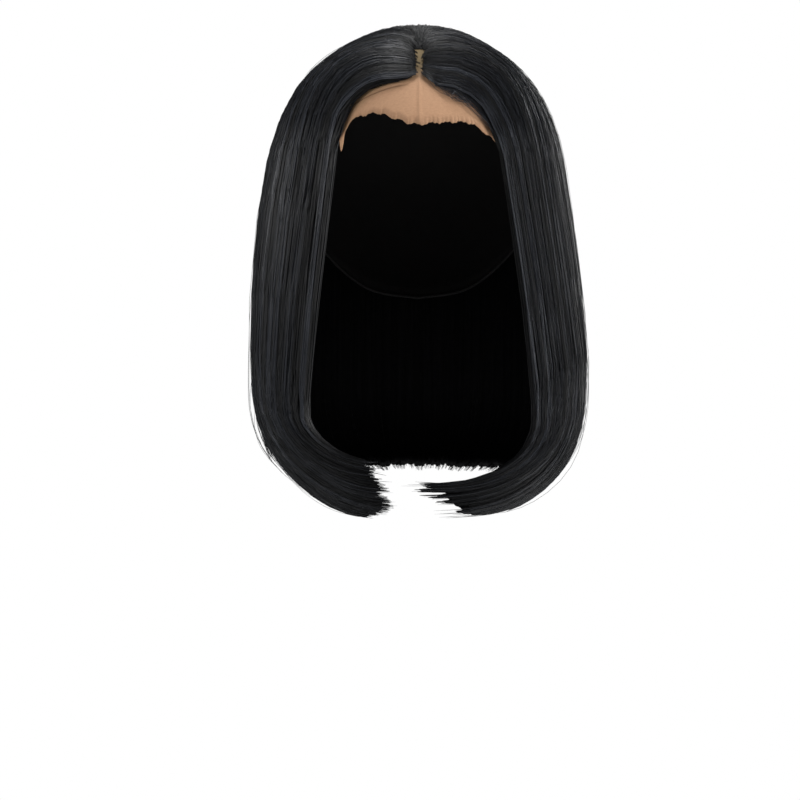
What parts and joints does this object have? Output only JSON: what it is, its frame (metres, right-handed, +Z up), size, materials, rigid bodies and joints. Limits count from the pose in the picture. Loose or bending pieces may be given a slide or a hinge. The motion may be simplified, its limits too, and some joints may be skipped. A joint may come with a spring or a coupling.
{
  "type": "bob wig with a lace front",
  "caption": "Straight black bob wig with a centre parting, sheer lace front and ends turned under, in its worn shape.",
  "frame": {"origin": "inside of the cap at the crown, where the top of the head touches it", "axes": "+Z up, the face looks along -Y, the wearer's left is +X"},
  "size_m": [0.1974, 0.2043, 0.2884],
  "materials": {
    "cap_net": "black stretch net",
    "lace": "sheer tan net",
    "hair": "black fibre with a silky sheen"
  },
  "bodies": {
    "root": {"cap": "cap_net", "lace_front": "lace", "front_curtain_right": "hair", "front_curtain_left": "hair", "side_fall_right": "hair", "side_fall_left": "hair", "back_fall": "hair"}
  },
  "joints": []
}
